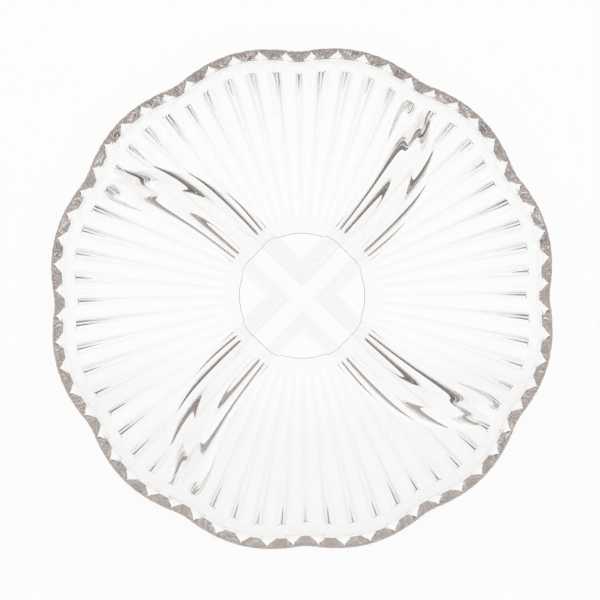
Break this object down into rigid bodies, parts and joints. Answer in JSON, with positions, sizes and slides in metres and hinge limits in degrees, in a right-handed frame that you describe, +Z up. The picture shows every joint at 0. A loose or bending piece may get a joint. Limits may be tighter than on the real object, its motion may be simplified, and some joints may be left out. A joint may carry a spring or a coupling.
{
  "type": "divided snack dish",
  "caption": "Shallow round clear glass dish with radial flutes, a scalloped and notched rim, and curved dividers that part it into compartments for snacks.",
  "frame": {"origin": "on the table, under the middle of the foot", "axes": "+Z up out of the bowl, +X to the right and +Y to the top of the picture, with two scallops meeting on +X"},
  "size_m": [0.2494, 0.2494, 0.0435],
  "materials": {
    "crystal": "clear, colourless, fire-polished"
  },
  "bodies": {
    "root": {"foot_disc": "crystal", "north_wall": "crystal", "west_wall": "crystal", "south_wall": "crystal", "east_wall": "crystal", "north_rim": "crystal", "west_rim": "crystal", "south_rim": "crystal", "east_rim": "crystal", "divider_hub": "crystal", "north_east_divider": "crystal", "north_west_divider": "crystal", "south_west_divider": "crystal", "south_east_divider": "crystal"}
  },
  "joints": []
}
